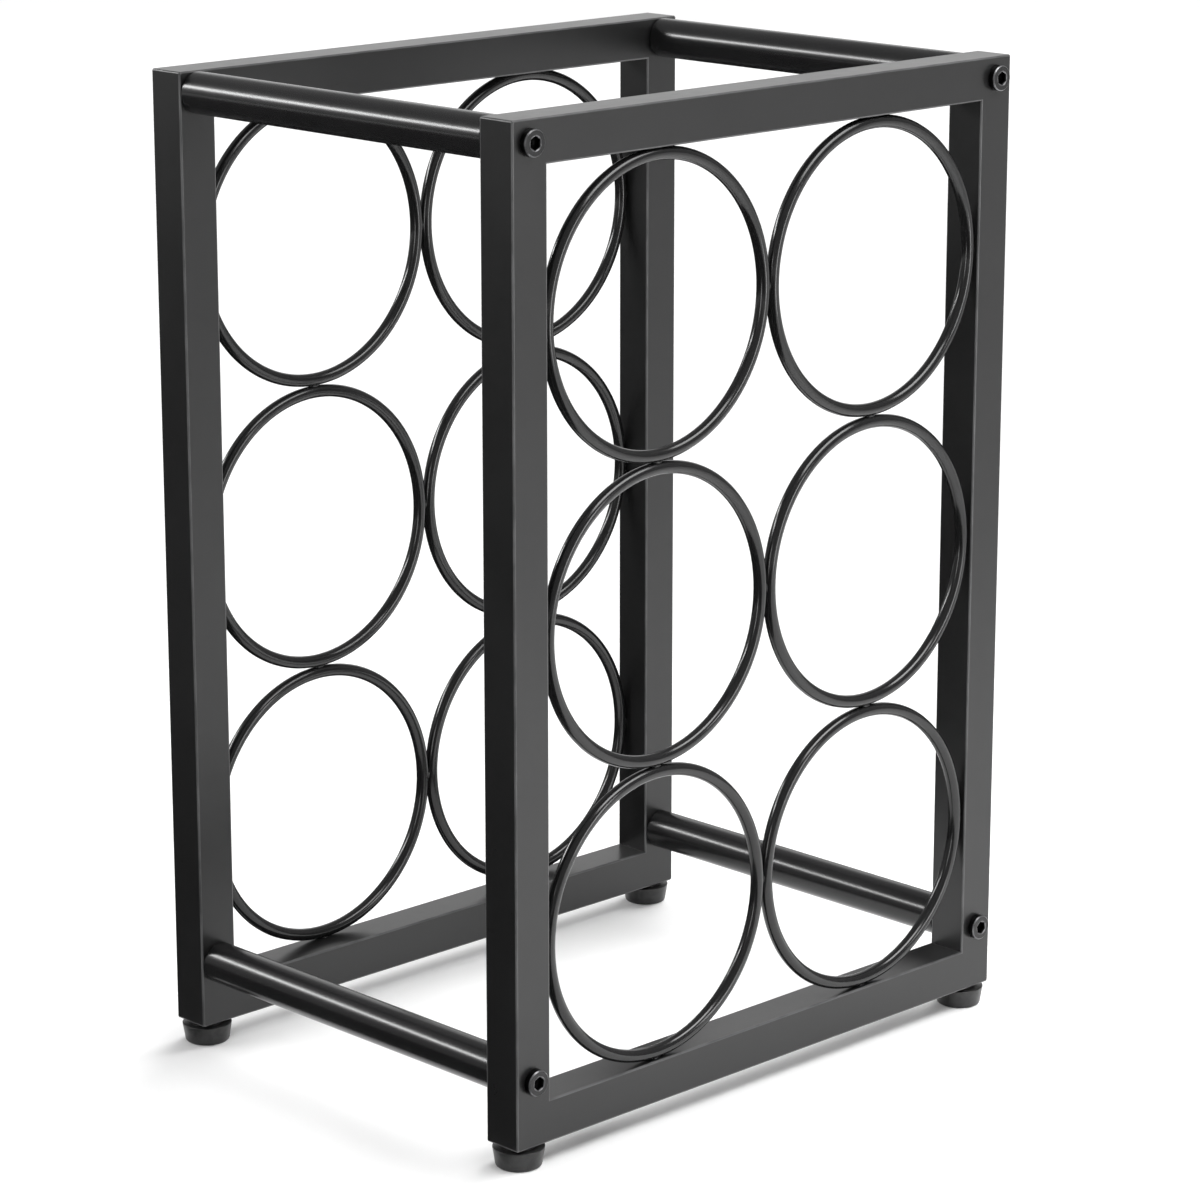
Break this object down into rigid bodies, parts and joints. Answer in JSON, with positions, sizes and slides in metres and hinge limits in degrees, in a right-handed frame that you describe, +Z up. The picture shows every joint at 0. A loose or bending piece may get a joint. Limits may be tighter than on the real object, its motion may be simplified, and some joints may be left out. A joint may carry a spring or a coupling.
{
  "type": "wine rack",
  "caption": "Table-top wine rack: square-tube end frames filled with round wire rings, joined by bolted round cross tubes, on tapered rubber feet.",
  "frame": {"origin": "on the floor under the middle of the rack, at the bottom centre of its bounding box", "axes": "+Z up; -Y is the front, where the bottle necks come out; +X is the rack's right seen from the front"},
  "size_m": [0.2408, 0.1844, 0.35],
  "materials": {
    "frame_coat": "satin black powder coat over square steel tube",
    "ring_coat": "satin black powder coat over steel wire",
    "tube_coat": "satin black powder coat over round steel tube",
    "black_bolt": "black oxide steel, slightly shiny on the head's edge",
    "foot_rubber": "smooth black rubber with a soft sheen",
    "zinc_steel": "bright zinc plating, hidden inside the rack"
  },
  "bodies": {
    "root": {"front_left_post": "frame_coat", "front_left_top_plate": "frame_coat", "front_left_bottom_plate": "frame_coat", "front_left_upper_bolt": "black_bolt", "front_left_upper_insert": "zinc_steel", "front_left_lower_bolt": "black_bolt", "front_left_lower_insert": "zinc_steel", "front_left_foot": "foot_rubber", "front_left_foot_screw": "zinc_steel", "front_right_post": "frame_coat", "front_right_top_plate": "frame_coat", "front_right_bottom_plate": "frame_coat", "front_right_upper_bolt": "black_bolt", "front_right_upper_insert": "zinc_steel", "front_right_lower_bolt": "black_bolt", "front_right_lower_insert": "zinc_steel", "front_right_foot": "foot_rubber", "front_right_foot_screw": "zinc_steel", "front_top_rail": "frame_coat", "front_bottom_rail": "frame_coat", "front_ring_left_lower": "ring_coat", "front_ring_left_middle": "ring_coat", "front_ring_left_upper": "ring_coat", "front_ring_right_lower": "ring_coat", "front_ring_right_middle": "ring_coat", "front_ring_right_upper": "ring_coat", "rear_left_post": "frame_coat", "rear_left_top_plate": "frame_coat", "rear_left_bottom_plate": "frame_coat", "rear_left_upper_bolt": "black_bolt", "rear_left_upper_insert": "zinc_steel", "rear_left_lower_bolt": "black_bolt", "rear_left_lower_insert": "zinc_steel", "rear_left_foot": "foot_rubber", "rear_left_foot_screw": "zinc_steel", "rear_right_post": "frame_coat", "rear_right_top_plate": "frame_coat", "rear_right_bottom_plate": "frame_coat", "rear_right_upper_bolt": "black_bolt", "rear_right_upper_insert": "zinc_steel", "rear_right_lower_bolt": "black_bolt", "rear_right_lower_insert": "zinc_steel", "rear_right_foot": "foot_rubber", "rear_right_foot_screw": "zinc_steel", "rear_top_rail": "frame_coat", "rear_bottom_rail": "frame_coat", "rear_ring_left_lower": "ring_coat", "rear_ring_left_middle": "ring_coat", "rear_ring_left_upper": "ring_coat", "rear_ring_right_lower": "ring_coat", "rear_ring_right_middle": "ring_coat", "rear_ring_right_upper": "ring_coat", "upper_left_cross_tube": "tube_coat", "lower_left_cross_tube": "tube_coat", "upper_right_cross_tube": "tube_coat", "lower_right_cross_tube": "tube_coat"}
  },
  "joints": []
}
